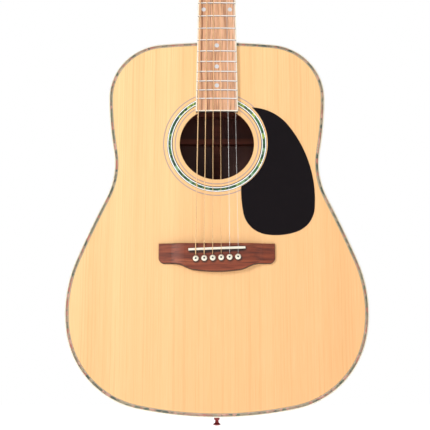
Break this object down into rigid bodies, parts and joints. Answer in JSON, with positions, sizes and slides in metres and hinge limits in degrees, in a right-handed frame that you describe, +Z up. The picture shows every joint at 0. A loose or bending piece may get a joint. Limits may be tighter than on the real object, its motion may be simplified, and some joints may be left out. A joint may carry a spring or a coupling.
{
  "type": "acoustic guitar",
  "caption": "Steel-string acoustic guitar with a square-shouldered hollow body, sound hole, pinned bridge, fretted neck and geared tuners.",
  "frame": {"origin": "on the centre line at the nut end of the fingerboard, in the plane of the outer face of the soundboard, which is also the plane the fingerboard is glued to", "axes": "+Z up the neck towards the headstock, +X to the treble side, -Y out of the soundboard towards the player"},
  "size_m": [0.3976, 0.1329, 1.0644],
  "materials": {
    "spruce_top": "gloss lacquer",
    "rosewood_body": "gloss lacquer",
    "mahogany_neck": "satin lacquer",
    "inner_wood": "bare",
    "brace_wood": "bare",
    "binding": "polished",
    "purfling": "shell laminate under lacquer",
    "fingerboard_wood": "oiled",
    "bridge_wood": "oiled",
    "pearl": "polished shell",
    "bone": "polished bone",
    "pin_plastic": "polished",
    "end_pin_plastic": "polished",
    "pickguard": "polished",
    "fret_wire": "polished",
    "steel": "satin",
    "chrome": "polished",
    "bronze_wound": "wound wire",
    "plain_steel": "bright wire"
  },
  "bodies": {
    "guitar": {"soundboard": "spruce_top", "back": "rosewood_body", "side_bass": "rosewood_body", "side_treble": "rosewood_body", "top_binding": "binding", "back_binding": "binding", "top_purfling": "purfling", "rosette": "purfling", "top_linings": "inner_wood", "back_linings": "inner_wood", "neck_block": "brace_wood", "tail_block": "brace_wood", "x_brace": "inner_wood", "top_braces": "inner_wood", "back_braces": "brace_wood", "back_strip": "inner_wood", "end_pin": "end_pin_plastic", "bridge": "bridge_wood", "saddle": "bone", "bridge_plate": "bridge_wood", "fingerboard": "fingerboard_wood", "fingerboard_binding": "binding", "dot_inlays": "pearl", "frets": "fret_wire", "nut": "bone", "neck": "mahogany_neck", "heel_cap": "binding", "headstock_veneer": "bridge_wood", "truss_rod": "steel", "pickguard": "pickguard", "tuner_housings": "chrome", "tuner_bushings": "chrome", "tuner_screws": "chrome", "string_1": "plain_steel", "string_2": "plain_steel", "string_3": "bronze_wound", "string_4": "bronze_wound", "string_5": "bronze_wound", "string_6": "bronze_wound"},
    "post_1": {"string_post_1": "chrome"},
    "key_1": {"tuner_key_1": "chrome"},
    "pin_1": {"bridge_pin_1": "pin_plastic"},
    "post_2": {"string_post_2": "chrome"},
    "key_2": {"tuner_key_2": "chrome"},
    "pin_2": {"bridge_pin_2": "pin_plastic"},
    "post_3": {"string_post_3": "chrome"},
    "key_3": {"tuner_key_3": "chrome"},
    "pin_3": {"bridge_pin_3": "pin_plastic"},
    "post_4": {"string_post_4": "chrome"},
    "key_4": {"tuner_key_4": "chrome"},
    "pin_4": {"bridge_pin_4": "pin_plastic"},
    "post_5": {"string_post_5": "chrome"},
    "key_5": {"tuner_key_5": "chrome"},
    "pin_5": {"bridge_pin_5": "pin_plastic"},
    "post_6": {"string_post_6": "chrome"},
    "key_6": {"tuner_key_6": "chrome"},
    "pin_6": {"bridge_pin_6": "pin_plastic"},
    "rod_nut": {"truss_rod_nut": "steel"}
  },
  "joints": [
    {"name": "tuner_key_1_turn", "type": "hinge", "parent": "guitar", "child": "key_1", "pos_m": [0.022, 0.02726, 0.03888], "axis": [1, 0, 0], "continuous": true},
    {"name": "string_post_1_turn", "type": "hinge", "parent": "guitar", "child": "post_1", "pos_m": [0.022, 0.01089, 0.04966], "axis": [0, -0.9703, 0.2419], "continuous": true},
    {"name": "tuner_key_2_turn", "type": "hinge", "parent": "guitar", "child": "key_2", "pos_m": [0.0232, 0.03694, 0.07769], "axis": [1, 0, 0], "continuous": true},
    {"name": "string_post_2_turn", "type": "hinge", "parent": "guitar", "child": "post_2", "pos_m": [0.0232, 0.02056, 0.08847], "axis": [0, -0.9703, 0.2419], "continuous": true},
    {"name": "tuner_key_3_turn", "type": "hinge", "parent": "guitar", "child": "key_3", "pos_m": [0.0244, 0.04662, 0.1165], "axis": [1, 0, 0], "continuous": true},
    {"name": "string_post_3_turn", "type": "hinge", "parent": "guitar", "child": "post_3", "pos_m": [0.0244, 0.03024, 0.12729], "axis": [0, -0.9703, 0.2419], "continuous": true},
    {"name": "tuner_key_4_turn", "type": "hinge", "parent": "guitar", "child": "key_4", "pos_m": [-0.0244, 0.04662, 0.1165], "axis": [-1, 0, 0], "continuous": true},
    {"name": "string_post_4_turn", "type": "hinge", "parent": "guitar", "child": "post_4", "pos_m": [-0.0244, 0.03024, 0.12729], "axis": [0, -0.9703, 0.2419], "continuous": true},
    {"name": "tuner_key_5_turn", "type": "hinge", "parent": "guitar", "child": "key_5", "pos_m": [-0.0232, 0.03694, 0.07769], "axis": [-1, 0, 0], "continuous": true},
    {"name": "string_post_5_turn", "type": "hinge", "parent": "guitar", "child": "post_5", "pos_m": [-0.0232, 0.02056, 0.08847], "axis": [0, -0.9703, 0.2419], "continuous": true},
    {"name": "tuner_key_6_turn", "type": "hinge", "parent": "guitar", "child": "key_6", "pos_m": [-0.022, 0.02726, 0.03888], "axis": [-1, 0, 0], "continuous": true},
    {"name": "string_post_6_turn", "type": "hinge", "parent": "guitar", "child": "post_6", "pos_m": [-0.022, 0.01089, 0.04966], "axis": [0, -0.9703, 0.2419], "continuous": true},
    {"name": "bridge_pin_1_pull", "type": "slide", "parent": "guitar", "child": "pin_1", "axis": [0, -1, 0], "range_m": [0, 0.025]},
    {"name": "bridge_pin_2_pull", "type": "slide", "parent": "guitar", "child": "pin_2", "axis": [0, -1, 0], "range_m": [0, 0.025]},
    {"name": "bridge_pin_3_pull", "type": "slide", "parent": "guitar", "child": "pin_3", "axis": [0, -1, 0], "range_m": [0, 0.025]},
    {"name": "bridge_pin_4_pull", "type": "slide", "parent": "guitar", "child": "pin_4", "axis": [0, -1, 0], "range_m": [0, 0.025]},
    {"name": "bridge_pin_5_pull", "type": "slide", "parent": "guitar", "child": "pin_5", "axis": [0, -1, 0], "range_m": [0, 0.025]},
    {"name": "bridge_pin_6_pull", "type": "slide", "parent": "guitar", "child": "pin_6", "axis": [0, -1, 0], "range_m": [0, 0.025]},
    {"name": "truss_rod_nut_turn", "type": "hinge", "parent": "guitar", "child": "rod_nut", "pos_m": [0, 0.0075, -0.45], "axis": [0, 0, 1], "range_deg": [-180, 180]}
  ],
  "couplings": [
    {"joint": "string_post_1_turn", "follows": "tuner_key_1_turn", "ratio": 0.071429},
    {"joint": "string_post_2_turn", "follows": "tuner_key_2_turn", "ratio": 0.071429},
    {"joint": "string_post_3_turn", "follows": "tuner_key_3_turn", "ratio": 0.071429},
    {"joint": "string_post_4_turn", "follows": "tuner_key_4_turn", "ratio": 0.071429},
    {"joint": "string_post_5_turn", "follows": "tuner_key_5_turn", "ratio": 0.071429},
    {"joint": "string_post_6_turn", "follows": "tuner_key_6_turn", "ratio": 0.071429}
  ]
}
